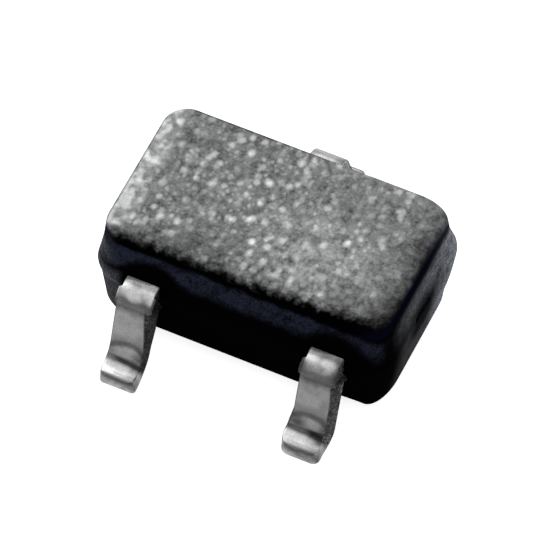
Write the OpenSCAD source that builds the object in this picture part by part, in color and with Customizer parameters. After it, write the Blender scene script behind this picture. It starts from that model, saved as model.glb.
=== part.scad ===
// Three-lead surface-mount diode array in a small moulded package.
// The origin is on the board, under the middle of the three feet. X runs along
// the body, and +Y points to the side with the single common lead.

/* [Body] */
// Length of the moulded body at its parting line
body_len = 2.06; // [1.94:0.02:2.2]
// Width of the moulded body at its parting line
body_w = 1.25; // [1.18:0.01:1.35]
// Height of the top face above the board
body_top = 0.955; // [0.92:0.005:1.05]
// Gap between the board and the underside
standoff = 0.09; // [0.03:0.005:0.1]
// Height of the parting plane, which is also the middle of the lead strip
parting_z = 0.59; // [0.56:0.005:0.61]
// Draft of the short ends above the parting line, in degrees
end_draft_up = 4.8; // [3:0.2:8]
// Draft of the long sides above the parting line, in degrees
side_draft_up = 9.6; // [5:0.2:11]
// Draft of the short ends below the parting line, in degrees
end_draft_low = 3.4; // [2:0.2:8]
// Draft of the long sides below the parting line, in degrees
side_draft_low = 4.4; // [3:0.2:9]
// Radius of the upright corners at the top face
corner_top_r = 0.17; // [0.12:0.005:0.18]
// Radius of the upright corners at the parting line
corner_r = 0.185; // [0.14:0.005:0.22]
// Radius of the upright corners at the underside
corner_low_r = 0.205; // [0.14:0.005:0.24]
// Radius round the rim of the top face
top_edge_r = 0.045; // [0.02:0.005:0.06]
// Radius round the rim of the underside
bottom_edge_r = 0.065; // [0.02:0.005:0.08]
// How far the flash bead stands out from the parting line
bead_out = 0.018; // [0.008:0.002:0.022]
// Height of the flash bead
bead_h = 0.07; // [0.04:0.005:0.09]
// Distance of the body from the middle of the footprint, towards the two-lead side
body_shift = 0.035; // [0:0.005:0.045]

/* [Gate scar] */
// Length of the scar where the mould gate broke off, on the +X end
gate_len = 0.26; // [0.16:0.01:0.36]
// Height of the scar
gate_h = 0.05; // [0.03:0.005:0.07]
// Depth of the scar behind the drafted wall
gate_deep = 0.012; // [0.006:0.002:0.02]

/* [Leads] */
// Spacing of the two leads that share a side
pitch = 1.3; // [1.22:0.01:1.36]
// Width of a lead
lead_w = 0.235; // [0.2:0.005:0.27]
// How far the stubs of the cut tie bar stand out from each side of a single lead
stub_out = 0.018; // [0.01:0.002:0.03]
// Length of those stubs along the middle of the strip
stub_len = 0.07; // [0.03:0.005:0.075]
// Distance of the stubs from the start of the shoulder bend
stub_lag = 0.025; // [0.005:0.005:0.03]
// Thickness of the lead strip
lead_t = 0.125; // [0.1:0.005:0.14]
// Distance from the middle of a body side to the start of the shoulder bend
flat_len = 0.07; // [0.07:0.005:0.11]
// Lean of the leg away from upright, in degrees
leg_lean = 19; // [12:1:24]
// Radius inside the shoulder bend
shoulder_r = 0.015; // [0.01:0.005:0.04]
// Radius inside the ankle bend
ankle_r = 0.1; // [0.04:0.005:0.12]
// Length of the flat under the foot
foot_len = 0.04; // [0.03:0.005:0.12]
// Radius of the two upright corners at the toe
toe_r = 0.03; // [0.01:0.005:0.05]

/* [Lead frame inside the body] */
// Width of the pad that carries the die
paddle_w = 0.62; // [0.5:0.02:0.7]
// Depth of the pad that carries the die
paddle_d = 0.6; // [0.5:0.02:0.62]
// Width of the post at the inner end of each single lead
post_w = 0.4; // [0.32:0.02:0.44]
// Depth of the post
post_d = 0.3; // [0.24:0.02:0.32]
// Compound between a post and the side that its lead comes out of
post_cover = 0.085; // [0.07:0.005:0.11]
// Clear distance between the posts and the die pad
post_gap = 0.1; // [0.08:0.01:0.14]

/* [Die] */
// Side of the square die
die_w = 0.34; // [0.28:0.01:0.4]
// Thickness of the die
die_t = 0.105; // [0.08:0.005:0.12]
// Thickness of the solder film under the die
attach_t = 0.012; // [0.01:0.002:0.02]
// How far the solder film reaches out past the die
attach_out = 0.02; // [0.01:0.005:0.03]
// Thickness of the metal on the back of the die
metal_t = 0.01; // [0.006:0.002:0.012]
// Thickness of the glass film on top of the die
glass_t = 0.01; // [0.006:0.002:0.012]
// Width of each square bond pad
pad_w = 0.1; // [0.09:0.005:0.11]
// Spacing of the two bond pads
pad_pitch = 0.16; // [0.14:0.01:0.17]

/* [Bond wires] */
// Diameter of the bond wire
wire_d = 0.025; // [0.018:0.001:0.03]
// Diameter of the ball pressed on the pad
ball_d = 0.07; // [0.06:0.002:0.08]
// Height of the ball
ball_h = 0.022; // [0.016:0.002:0.028]
// Rise of the wire's loop above the ball
loop_rise = 0.07; // [0.05:0.005:0.08]
// Distance of the landing from the lead's middle, towards the die
land_in = 0.06; // [0.04:0.01:0.1]
// Length of the flattened stitch on the post
stitch_len = 0.056; // [0.04:0.004:0.08]

/* [Hidden] */
$fn = 72;

compound_colour = "#38393c";
tin_colour = "#c9c9c6";
solder_colour = "#9a9a98";
silicon_colour = "#5b6472";
glass_colour = "#3f6f8c";
aluminium_colour = "#d6d8da";
gold_colour = "#d9a441";

// Rings of the body shell
corner_steps = 8;
top_angles = [0, 18, 36, 54, 72, 90];
bottom_angles = [90, 72, 54, 36, 18, 0];
crest_share = 0.22;
body_y = -body_shift;
reach_up = body_top - parting_z;
reach_down = parting_z - standoff;

// Heights of the lead strip
lead_top = parting_z + lead_t / 2;
lead_low = lead_top - lead_t;
toe_steps = 6;
shoulder_out = shoulder_r + lead_t;
shoulder_mid = shoulder_r + lead_t / 2;
ankle_out = ankle_r + lead_t;

// Outward stations of the lead, measured from the middle of the footprint
shoulder_s = body_w / 2 + flat_len;
leg_drop = lead_top - shoulder_out - lead_t - ankle_r;
leg_step = (sin(leg_lean) * leg_drop + ankle_r + shoulder_out) / cos(leg_lean);
ankle_s = shoulder_s + leg_step;
foot_s = ankle_s + foot_len;
post_out_s = body_w / 2 + body_shift - post_cover;
post_in_s = post_out_s - post_d;
paddle_in_y = post_gap - post_in_s;
paddle_out_y = paddle_in_y + paddle_d;
shoulder_z = lead_top - shoulder_out;
stub_from_a = 90 - arc_angle(stub_lag, shoulder_mid);
stub_to_a = stub_from_a - arc_angle(stub_len, shoulder_mid);

// Stack on the die pad
die_y = paddle_in_y + paddle_d / 2;
attach_w = die_w + 2 * attach_out;
metal_z = lead_top + attach_t;
die_z = metal_z + metal_t;
glass_z = die_z + die_t;
pad_z = glass_z + glass_t;

// Wire from a pad to a post
wire_sides = 10;
wire_steps = 14;
wire_r = wire_d / 2;
ball_r = ball_d / 2;
loop_pull = loop_rise / 0.66;
land_s = post_in_s + 0.45 * post_d;

// Angle that an arc of a given length turns through
function arc_angle(length, radius) = 180 * length / (PI * radius);

// Inward step of the body wall at a height h from the parting plane, for a
// half of the given reach, rim radius and draft
function wall_step(h, reach, rim, draft) =
    let (
        s = (h - (reach - rim)) / rim,
        tangent = rim * tan((90 - draft) / 2)
    )
    s <= sin(draft)
        ? h * tan(draft)
        : reach * tan(draft) + tangent - rim * sqrt(max(0, 1 - s * s));

// One station of the shell: height, half length, half width, corner radius
function station(z, out = 0) =
    let (
        up = z >= parting_z,
        h = abs(z - parting_z),
        reach = up ? reach_up : reach_down,
        rim = up ? top_edge_r : bottom_edge_r,
        end_draft = up ? end_draft_up : end_draft_low,
        end_in = wall_step(h, reach, rim, end_draft),
        side_in = wall_step(h, reach, rim, up ? side_draft_up : side_draft_low),
        far_r = up ? corner_top_r : corner_low_r,
        wall_r = corner_r + (far_r - corner_r) * h / reach,
        rim_in = max(0, end_in - h * tan(end_draft))
    )
    [z, body_len / 2 - end_in + out, body_w / 2 - side_in + out, wall_r - rim_in + out];

function rounded_ring(st) = [
    for (q = [0:3], k = [0:corner_steps])
        let (
            a = 90 * q + 90 * k / corner_steps,
            cx = (q == 0 || q == 3 ? 1 : -1) * (st[1] - st[3]),
            cy = (q < 2 ? 1 : -1) * (st[2] - st[3])
        )
        [cx + st[3] * cos(a), body_y + cy + st[3] * sin(a), st[0]]
];

// Triangles that close a stack of equal rings, with a flat cap at both ends
function stack_faces(rings, sides) = concat(
    [[for (j = [0:sides - 1]) j]],
    [[for (j = [sides - 1:-1:0]) (rings - 1) * sides + j]],
    [
        for (i = [0:rings - 2], j = [0:sides - 1], half = [0, 1])
            let (
                a = i * sides + j,
                b = i * sides + (j + 1) % sides
            )
            half == 0 ? [a, a + sides, b] : [b, a + sides, b + sides]
    ]
);

module ring_stack(rings) {
    sides = len(rings[0]);
    points = [for (ring = rings, p = ring) p];
    polyhedron(points = points, faces = stack_faces(len(rings), sides), convexity = 4);
}

module body_shell() {
    stations = concat(
        [for (a = bottom_angles) station(standoff + bottom_edge_r * (1 - sin(a)))],
        [
            station(parting_z - bead_h / 2),
            station(parting_z - bead_h * crest_share, bead_out),
            station(parting_z + bead_h * crest_share, bead_out),
            station(parting_z + bead_h / 2)
        ],
        [for (a = top_angles) station(body_top - top_edge_r * (1 - sin(a)))]
    );
    ring_stack([for (st = stations) rounded_ring(st)]);
}

// Shallow pocket in the bead where the compound broke away from the mould gate
module gate_scar() {
    translate([body_len / 2 - gate_deep, body_y - gate_len / 2, parting_z - gate_h / 2])
        cube([2 * (gate_deep + bead_out), gate_len, gate_h]);
}

// Sector of a ring: the strip where it bends round a centre
module bend(centre, inner_r, from, to) {
    far = 4 * (inner_r + lead_t);
    mid = (from + to) / 2;
    translate(centre)
        intersection() {
            difference() {
                circle(r = inner_r + lead_t);
                circle(r = inner_r);
            }
            polygon([[0, 0], for (a = [from, mid, to]) far * [cos(a), sin(a)]]);
        }
}

// Side view of the bent strip: outward distance and height
module strip_side(root) {
    shoulder = [shoulder_s, shoulder_z];
    ankle = [ankle_s, lead_t + ankle_r];
    lean = [cos(leg_lean), sin(leg_lean)];
    translate([root, lead_low])
        square([shoulder_s - root, lead_t]);
    bend(shoulder, shoulder_r, leg_lean, 90);
    polygon([
        shoulder + shoulder_out * lean,
        shoulder + shoulder_r * lean,
        ankle - ankle_out * lean,
        ankle - ankle_r * lean
    ]);
    bend(ankle, ankle_r, 180 + leg_lean, 270);
    translate([ankle_s, 0])
        square([foot_len, lead_t]);
}

// Right half of a lead's flat outline: the rounded corner at the toe
function toe_corner() = [
    for (k = [toe_steps:-1:0])
        let (a = 90 * k / toe_steps)
        [lead_w / 2 - toe_r * (1 - cos(a)), foot_s - toe_r * (1 - sin(a))]
];

// The step where a lead widens inside the body, and its inner end
function inner_plate(width, from_s, to_s) = [
    [lead_w / 2, from_s],
    [width / 2, from_s],
    [width / 2, to_s]
];

function both_sides(half) = concat(half, [for (k = [len(half) - 1:-1:0]) [-half[k][0], half[k][1]]]);

// A lead is the bent strip trimmed to its flat outline, pointing to +Y
module formed_lead(half, root) {
    intersection() {
        rotate([90, 0, 90])
            linear_extrude(height = body_len, center = true)
                strip_side(root);
        linear_extrude(height = body_top)
            polygon(both_sides(half));
    }
}

// The tie bar is cut before the strip is bent, so its stubs turn with the bend
module tie_stubs() {
    rotate([90, 0, 90])
        linear_extrude(height = lead_w + 2 * stub_out, center = true)
            bend([shoulder_s, shoulder_z], shoulder_r, stub_to_a, stub_from_a);
}

module io_lead(side) {
    post = inner_plate(post_w, post_out_s, post_in_s);
    color(tin_colour)
        translate([side * pitch / 2, 0, 0])
            mirror([0, 1, 0]) {
                formed_lead(concat(toe_corner(), post), post_in_s);
                tie_stubs();
            }
}

module lead_io_1() io_lead(-1);

module lead_io_2() io_lead(1);

module lead_common() {
    paddle = inner_plate(paddle_w, paddle_out_y, paddle_in_y);
    color(tin_colour)
        formed_lead(concat(toe_corner(), paddle), paddle_in_y);
}

module plate(side, height, z) {
    translate([-side / 2, die_y - side / 2, z])
        cube([side, side, height]);
}

module die_attach() {
    color(solder_colour)
        plate(attach_w, attach_t, lead_top);
}

module back_metal() {
    color(gold_colour)
        plate(die_w, metal_t, metal_z);
}

module silicon_die() {
    color(silicon_colour)
        plate(die_w, die_t, die_z);
}

module bond_pad(side) {
    color(aluminium_colour)
        translate([side * pad_pitch / 2, 0, 0])
            plate(pad_w, glass_t, glass_z);
}

module bond_pad_1() bond_pad(-1);

module bond_pad_2() bond_pad(1);

module glass_film() {
    color(glass_colour)
        difference() {
            plate(die_w, glass_t, glass_z);
            for (side = [-1, 1])
                translate([side * pad_pitch / 2, 0, -glass_t / 2])
                    plate(pad_w, 2 * glass_t, glass_z);
        }
}

function bezier(p, t) =
    let (u = 1 - t)
    u * u * u * p[0] + 3 * u * u * t * p[1] + 3 * u * t * t * p[2] + t * t * t * p[3];

function bezier_slope(p, t) =
    let (u = 1 - t)
    3 * u * u * (p[1] - p[0]) + 6 * u * t * (p[2] - p[1]) + 3 * t * t * (p[3] - p[2]);

// Ring round a wire: where = distance along the run and height, rise = its
// slope in degrees, wide and tall = half axes. A side lies flat underneath.
function wire_ring(start, run, where, rise, wide, tall) = [
    for (k = [0:wire_sides - 1])
        let (
            a = 360 * (k + 0.5) / wire_sides + 90,
            along = where[0] - tall * sin(a) * sin(rise),
            z = where[1] + tall * sin(a) * cos(rise),
            across = wide * cos(a)
        )
        [start[0] + along * cos(run) - across * sin(run), start[1] + along * sin(run) + across * cos(run), z]
];

// The wire starts as a pressed ball on the pad, loops over the edge of the die
// and ends as a flattened stitch on the post
module bond_wire(side) {
    start = [side * pad_pitch / 2, die_y];
    land = [side * (pitch / 2 - land_in), -land_s];
    run = atan2(land[1] - start[1], land[0] - start[0]);
    span = norm(land - start);
    neck = pad_z + ball_h;
    path = [
        [0, neck],
        [0, neck + loop_pull],
        [0.45 * span, neck + loop_pull],
        [span, lead_top + 1.1 * wire_r]
    ];
    flat = cos(180 / wire_sides);
    ball = [[0, 0.86], [0.3, 1], [0.65, 0.96], [0.88, 0.7]];
    rings = concat(
        [for (b = ball) wire_ring(start, run, [0, pad_z + b[0] * ball_h], 90, b[1] * ball_r, b[1] * ball_r)],
        [
            for (k = [0:wire_steps])
                let (
                    t = k / wire_steps,
                    slope = bezier_slope(path, t)
                )
                wire_ring(start, run, bezier(path, t), atan2(slope[1], slope[0]), wire_r, wire_r)
        ],
        [
            for (press = [[0.4, 1.3, 0.6], [1, 1.6, 0.3]])
                let (spot = [span + press[0] * stitch_len, lead_top + press[2] * wire_r * flat])
                wire_ring(start, run, spot, 0, press[1] * wire_r, press[2] * wire_r)
        ]
    );
    color(gold_colour)
        ring_stack(rings);
}

module bond_wire_1() bond_wire(-1);

module bond_wire_2() bond_wire(1);

// The compound fills all the room round the pieces that it seals in
module epoxy_body() {
    color(compound_colour)
        difference() {
            body_shell();
            gate_scar();
            lead_io_1();
            lead_io_2();
            lead_common();
            plate(attach_w, attach_t, lead_top);
            plate(die_w, pad_z - metal_z, metal_z);
            bond_wire_1();
            bond_wire_2();
        }
}

epoxy_body();
lead_io_1();
lead_io_2();
lead_common();
die_attach();
back_metal();
silicon_die();
glass_film();
bond_pad_1();
bond_pad_2();
bond_wire_1();
bond_wire_2();
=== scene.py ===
import math

import bpy
import numpy as np
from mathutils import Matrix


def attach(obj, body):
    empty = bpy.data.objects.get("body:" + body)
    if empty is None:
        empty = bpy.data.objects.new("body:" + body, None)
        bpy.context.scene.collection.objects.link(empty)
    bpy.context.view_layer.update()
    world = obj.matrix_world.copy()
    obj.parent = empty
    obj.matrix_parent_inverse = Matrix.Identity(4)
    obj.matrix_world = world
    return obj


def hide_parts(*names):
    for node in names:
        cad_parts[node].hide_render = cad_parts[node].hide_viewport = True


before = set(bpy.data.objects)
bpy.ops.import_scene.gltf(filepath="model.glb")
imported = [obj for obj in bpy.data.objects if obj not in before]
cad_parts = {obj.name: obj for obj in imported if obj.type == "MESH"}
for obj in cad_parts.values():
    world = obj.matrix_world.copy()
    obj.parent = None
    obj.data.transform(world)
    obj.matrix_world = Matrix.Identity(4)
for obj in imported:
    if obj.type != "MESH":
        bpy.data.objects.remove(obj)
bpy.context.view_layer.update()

# Sizes are in millimetres up to the moment a mesh or a lamp is made, then in metres.
mm = 0.001
scene = bpy.context.scene


# One socket of a material, so that sums on it read as plain Python.
class Value:
    def __init__(self, finish, socket):
        self.finish = finish
        self.socket = socket

    def combine(self, operation, *others):
        made = self.finish.node("Math", {"operation": operation}, dict(enumerate([self, *others])))
        return made.out()

    def __add__(self, other):
        return self.combine("ADD", other)

    __radd__ = __add__

    def __mul__(self, other):
        return self.combine("MULTIPLY", other)

    __rmul__ = __mul__

    def __neg__(self):
        return self * -1

    def __sub__(self, other):
        return self.combine("SUBTRACT", other)

    def __rsub__(self, other):
        return -self + other

    def __truediv__(self, other):
        return self.combine("DIVIDE", other)

    def __pow__(self, other):
        return self.combine("POWER", other)

    def __abs__(self):
        return self.combine("ABSOLUTE")

    def atLeast(self, other):
        return self.combine("MAXIMUM", other)

    # From before to after while the value goes from low to high, with a soft start and end
    def change(self, low, high, before, after):
        soft = {"interpolation_type": "SMOOTHSTEP"}
        reach = {"Value": self, "From Min": low, "From Max": high,
                 "To Min": before, "To Max": after}
        return self.finish.node("MapRange", soft, reach).out("Result")

    # 0 below low, share above high
    def rise(self, low, high, share=1):
        return self.change(low, high, 0, share)

    # share below low, 0 above high
    def fall(self, low, high, share=1):
        return self.change(low, high, share, 0)

    # 1 below low, and less by share above high
    def less(self, low, high, share):
        return self.change(low, high, 1, 1 - share)

    # share at the middle, 0 further off than reach
    def hump(self, middle, reach, share=1):
        return abs(self - middle).fall(0, reach, share)


class MadeNode:
    def __init__(self, finish, node):
        self.finish = finish
        self.node = node

    def out(self, name=0):
        return Value(self.finish, self.node.outputs[name])


# A material and the few ways of adding to it.
class Finish:
    def __init__(self, name, tree=None):
        self.material = None
        if tree is None:
            self.material = bpy.data.materials.new(name)
            self.material.use_nodes = True
            tree = self.material.node_tree
        self.tree = tree
        self.tree.nodes.clear()

    def node(self, kind, settings=None, inputs=None):
        made = self.tree.nodes.new("ShaderNode" + kind)
        for name, value in (settings or {}).items():
            if name == "stops":
                self.setStops(made.color_ramp.elements, value)
            else:
                setattr(made, name, value)
        for name, value in (inputs or {}).items():
            if isinstance(value, Value):
                self.tree.links.new(value.socket, made.inputs[name])
            else:
                made.inputs[name].default_value = value
        return MadeNode(self, made)

    def setStops(self, elements, stops):
        for place, colour in stops[1:-1]:
            elements.new(place).color = colour
        for spot, (place, colour) in ((0, stops[0]), (-1, stops[-1])):
            elements[spot].position = place
            elements[spot].color = colour

    # Grey that follows a value: stops are pairs of a value and a tone
    def greys(self, value, stops):
        reach = stops[-1][0]
        marks = [(at / reach, (tone, tone, tone, 1)) for at, tone in stops]
        return self.node("ValToRGB", {"stops": marks}, {0: value / reach}).out()

    def mixColour(self, share, first, second):
        made = self.node("Mix", {"data_type": "RGBA"}, {0: share, 6: first, 7: second})
        return made.out(2)

    # Colour times a value that changes over the surface
    def shade(self, colour, share):
        return self.mixColour(share, (0, 0, 0, 1), colour)

    def grey(self, tone):
        return self.shade((1, 1, 1, 1), tone)

    # Position on the part, in millimetres
    def place(self):
        spot = self.node("TexCoord").out("Object")
        return self.node("VectorMath", {"operation": "SCALE"}, {0: spot, "Scale": 1 / mm}).out(0)

    def split(self, place):
        parts = self.node("SeparateXYZ", None, {0: place})
        return parts.out("X"), parts.out("Y"), parts.out("Z")

    def grain(self, place, scale, detail=2.0, roughness=0.5):
        return self.node("TexNoise", None, {"Vector": place, "Scale": scale, "Detail": detail,
                                            "Roughness": roughness}).out("Fac")

    # Round grains scattered over the surface: 1 in a grain's middle. Only some of them are bright.
    # They are a little longer along Y, and the offset keeps layers of different scales from
    # lining up round the part's middle.
    def specks(self, place, scale, size, rare, heart=0.2, spread=0.6,
               stretch=(1, 0.85, 1), offset=(17.9, 2.6, 0)):
        moved = self.node("VectorMath", {"operation": "MULTIPLY_ADD"},
                          {0: place, 1: stretch, 2: offset}).out(0)
        cells = self.node("TexVoronoi", {"voronoi_dimensions": "2D"},
                          {"Vector": moved, "Scale": scale})
        pick = self.node("SeparateColor", None, {0: cells.out("Color")}).out("Red")
        return cells.out("Distance").fall(size * heart, size) * pick.rise(rare, rare + spread)

    def bump(self, height, distance):
        return self.node("Bump", None, {"Height": height, "Distance": distance * mm,
                                        "Strength": 1.0}).out()

    def close(self, shader):
        self.tree.links.new(shader.socket, self.node("OutputMaterial").node.inputs[0])
        return self.material


def makePiece(name, points, faces, material, replaced):
    mesh = bpy.data.meshes.new(name)
    mesh.from_pydata((np.asarray(points) * mm).tolist(), [], faces)
    mesh.validate()
    mesh.shade_smooth()
    mesh.materials.append(material)
    piece = bpy.data.objects.new(name, mesh)
    scene.collection.objects.link(piece)
    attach(piece, "root")
    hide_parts(replaced)
    return piece


# Quads between rings of equal length, closed all round
def ringFaces(rings, sides):
    return [
        (i * sides + j, i * sides + (j + 1) % sides,
         (i + 1) * sides + (j + 1) % sides, (i + 1) * sides + j)
        for i in range(rings - 1) for j in range(sides)
    ]


# 0 below low, 1 above high and a straight line between
def ramp(value, low, high):
    return np.clip((value - low) / (high - low), 0, 1)


# The same with a soft start and end
def eased(share):
    return share * share * (3 - 2 * share)


# The camera stands where the photograph was taken from, far off with a long lens.
cameraView = {
    "azimuth": 25.18,
    "elevation": 55.02,
    "distance": 44.5,
    "aim": (0.0188, -0.1054, 0.4138),
    "lens": 451.5,
    "sensor": 36,
    "nearest": 5,
    "furthest": 2000,
}


def placeCamera(look):
    turn, lift = math.radians(look["azimuth"]), math.radians(look["elevation"])
    back = np.array([math.sin(turn) * math.cos(lift), -math.cos(turn) * math.cos(lift),
                     math.sin(lift)])
    lensData = bpy.data.cameras.new("photoCamera")
    lensData.lens = look["lens"]
    lensData.sensor_width = look["sensor"]
    lensData.clip_start = look["nearest"] * mm
    lensData.clip_end = look["furthest"] * mm
    camera = bpy.data.objects.new("photoCamera", lensData)
    camera.location = ((np.array(look["aim"]) + look["distance"] * back) * mm).tolist()
    camera.rotation_euler = (math.pi / 2 - lift, 0, turn)
    scene.collection.objects.link(camera)
    scene.camera = camera


placeCamera(cameraView)
print("camera placed")

# The moulded body. Pairs are for below and above the parting line, triples for the underside, the
# parting line and the top. The two halves of the mould don't quite meet: the lower one sits a
# little towards -X, and the parting edge flares into the walls.
moulding = {
    "length": 2.06,
    "width": 1.25,
    "bottom": 0.09,
    "parting": 0.59,
    "top": 0.955,
    "shift": 0.035,
    "endDraft": (3.4, 4.8),
    "sideDraft": (4.4, 9.6),
    "cornerRadius": (0.205, 0.185, 0.17),
    # added to each corner's radii along X and along Y, anticlockwise from the +X -Y corner
    "lowCorners": ((-0.085, 0.065), (0.035, 0.04), (0, 0), (0.075, -0.035)),
    "highCorners": ((0, 0), (0.08, -0.03), (0, 0), (0, 0)),
    "setBack": (0.4, 0.85, 0.028),  # the underside's -Y edge draws in: X from, X to, how far
    "setBackWidth": 0.4,  # Y over which that dies away
    "rimRadius": (0.065, 0.045),
    "crest": (0.564, 0.600),  # heights between which the parting edge stands out fully
    "flareFoot": (0.527, 0.230),  # height at the -X and at the +X end
    "fullerFrom": 0.5,  # X from which the flare's foot is also fuller
    "flareHead": 0.780,
    "headBow": 0.4,  # how hollow the flare is above
    "beadOut": (0.018, 0.010),  # all round, and more at the +X end's +Y corner
    "cornerBead": ((0.8, 1.0), (-0.1, 0.4)),  # where that more comes in, along X and along Y
    "beadWander": 0.2,
    "wanderSeed": 7,
    "wanderWaves": (3, 60, 4),  # waves round the body: from, to, step
    "lowShift": (-0.010, -0.002),  # along X, at the -X and at the +X end
    "shiftHeight": 0.05,  # below the crest, over which it comes in
    "gateLength": 0.26,
    "gateHeight": 0.05,
    "gateDepth": 0.012,
    "gateRough": 0.003,
    "gateTurn": 4000,  # how fast the roughness changes with height
    "rimRings": 12,
    "wallRings": (9, 10, 9, 6, 15, 8),  # between the rims, from the underside up
    "capInset": 0.01,
}


# Inward step of a wall at height h from the parting line
def wallStep(h, reach, rim, draft):
    slope = math.radians(draft)
    s = (h - (reach - rim)) / rim
    if s <= math.sin(slope):
        return h * math.tan(slope)
    tangent = rim * math.tan((math.pi / 2 - slope) / 2)
    return reach * math.tan(slope) + tangent - rim * math.sqrt(max(0, 1 - s * s))


# Half length, half width and the corners' radii along X and Y, for the body at a height
def bodyStation(z, m=moulding):
    up = int(z >= m["parting"])
    h = abs(z - m["parting"])
    reach = (m["parting"] - m["bottom"], m["top"] - m["parting"])[up]
    rim = m["rimRadius"][up]
    endIn = wallStep(h, reach, rim, m["endDraft"][up])
    sideIn = wallStep(h, reach, rim, m["sideDraft"][up])
    farRadius, partingRadius = m["cornerRadius"][2 * up], m["cornerRadius"][1]
    wallRadius = partingRadius + (farRadius - partingRadius) * h / reach
    rimIn = max(0, endIn - h * math.tan(math.radians(m["endDraft"][up])))
    added = np.array(m["highCorners" if up else "lowCorners"]) * h / reach
    return m["length"] / 2 - endIn, m["width"] / 2 - sideIn, wallRadius - rimIn + added


# How far the parting edge stands out at a height, for places along the body: 1 on its crest
def flareAt(z, xs, m=moulding):
    low, high = m["crest"]
    halfLength = m["length"] / 2
    foot = np.interp(xs, (-halfLength, halfLength), m["flareFoot"])
    below = ramp(z, foot, low)
    fuller = ramp(xs, m["fullerFrom"], halfLength)
    below = eased(below) * (1 - fuller) + (1 - (1 - below) ** 2) * fuller
    above = ramp(z, high, m["flareHead"])
    return below * (1 - above) * (1 - above * above * m["headBow"])


# A rounded rectangle round the middle, anticlockwise from the +X end's -Y corner
def roundedLoop(halfX, halfY, radii, alongX=44, alongY=64, corner=12):
    loop = []
    for quarter, steps in enumerate((alongY, alongX, alongY, alongX)):
        start = math.pi / 2 * quarter
        (rx, ry), (nextX, nextY) = radii[quarter], radii[(quarter + 1) % 4]
        cx = (halfX - rx) * (1 if quarter in (0, 1) else -1)
        cy = (halfY - ry) * (1 if quarter in (1, 2) else -1)
        for k in range(corner):
            a = start - math.pi / 2 + math.pi / 2 * k / corner
            loop.append((cx + rx * math.cos(a), cy + ry * math.sin(a)))
        ex, ey = cx + rx * math.cos(start), cy + ry * math.sin(start)
        nx, ny = [(halfX, halfY - nextY), (nextX - halfX, halfY),
                  (-halfX, nextY - halfY), (halfX - nextX, -halfY)][quarter]
        for k in range(steps):
            t = k / steps
            loop.append((ex + (nx - ex) * t, ey + (ny - ey) * t))
    return np.array(loop)


# The two halves of the mould: how the lower one lies against the upper
def settle(ring, z, m=moulding):
    halfLength = m["length"] / 2
    depth = eased(ramp(m["crest"][0] - z, 0, m["shiftHeight"]))
    start, end, back = m["setBack"]
    inward = eased(ramp(ring[:, 0], start, end)) * ramp(-ring[:, 1], 0, m["setBackWidth"])
    ring[:, 1] += inward * back * ramp(m["parting"] - z, 0, m["parting"] - m["bottom"])
    ring[:, 0] += np.interp(ring[:, 0], (-halfLength, halfLength), m["lowShift"]) * depth
    return ring


# The flash bead wanders a little round the parting line
def beadRipple(count, m=moulding):
    draw = np.random.default_rng(m["wanderSeed"])
    t = np.linspace(0, 2 * math.pi, count, endpoint=False)
    wave = sum(np.sin(k * t + draw.uniform(0, 2 * math.pi)) / math.sqrt(k)
               for k in range(*m["wanderWaves"]))
    return wave / np.abs(wave).max()


# The pocket where the gate broke off, rough inside
def breakGate(ring, z, ripple, m=moulding):
    inGate = (np.abs(ring[:, 1]) < m["gateLength"] / 2) & (ring[:, 0] > 0)
    rough = np.roll(ripple, int(z * m["gateTurn"]) % len(ripple))
    floor = m["length"] / 2 - m["gateDepth"] + m["gateRough"] * rough
    ring[inGate, 0] = np.minimum(ring[inGate, 0], floor[inGate])


# Heights of the body's rings, from the underside up
def ringHeights(m=moulding):
    lowRim, highRim = m["rimRadius"]
    turns = [math.pi / 2 * k / m["rimRings"] for k in range(m["rimRings"] + 1)]
    heights = [m["bottom"] + lowRim * (1 - math.cos(a)) for a in turns]
    marks = (heights[-1], min(m["flareFoot"]), max(m["flareFoot"]), *m["crest"],
             m["flareHead"], m["top"] - highRim)
    for start, end, rings in zip(marks, marks[1:], m["wallRings"]):
        heights += np.linspace(start, end, rings).tolist()[1:]
    return heights + [m["top"] - highRim * (1 - math.sin(a)) for a in turns[1:]]


def buildBody(m=moulding):
    rings = [(z, roundedLoop(*bodyStation(z))) for z in ringHeights()]
    sides = len(rings[0][1])
    ripple = beadRipple(sides)
    wander = 1 - m["beadWander"] * 0.5 * (1 + ripple)
    points = []
    for z, loop in rings:
        alongX, alongY = m["cornerBead"]
        more = ramp(loop[:, 0], *alongX) * ramp(loop[:, 1], *alongY)
        swell = flareAt(z, loop[:, 0]) * (m["beadOut"][0] + m["beadOut"][1] * more)
        ahead, behind = np.roll(loop, -1, 0), np.roll(loop, 1, 0)
        outward = np.stack([ahead[:, 1] - behind[:, 1], behind[:, 0] - ahead[:, 0]], 1)
        outward /= np.linalg.norm(outward, axis=1)[:, None]
        ring = settle(loop + outward * (swell * wander)[:, None], z)
        if abs(z - m["parting"]) < m["gateHeight"] / 2:
            breakGate(ring, z, ripple)
        points += [(x, y - m["shift"], z) for x, y in ring]
    faces = ringFaces(len(rings), sides)
    # flat faces: one inner ring keeps their shading flat, then a single face closes them
    lastRing = (len(rings) - 1) * sides
    for z, start, up in ((rings[0][0], 0, False), (rings[-1][0], lastRing, True)):
        halfX, halfY, radii = bodyStation(z)
        inset = m["capInset"]
        inner = settle(roundedLoop(halfX - inset, halfY - inset, radii - inset), z)
        first = len(points)
        points += [(x, y - m["shift"], z) for x, y in inner]
        for j in range(sides):
            k = (j + 1) % sides
            quad = (start + j, start + k, first + k, first + j)
            faces.append(quad if up else quad[::-1])
        cap = tuple(range(first, first + sides))
        faces.append(cap if up else cap[::-1])
    return points, faces


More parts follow.
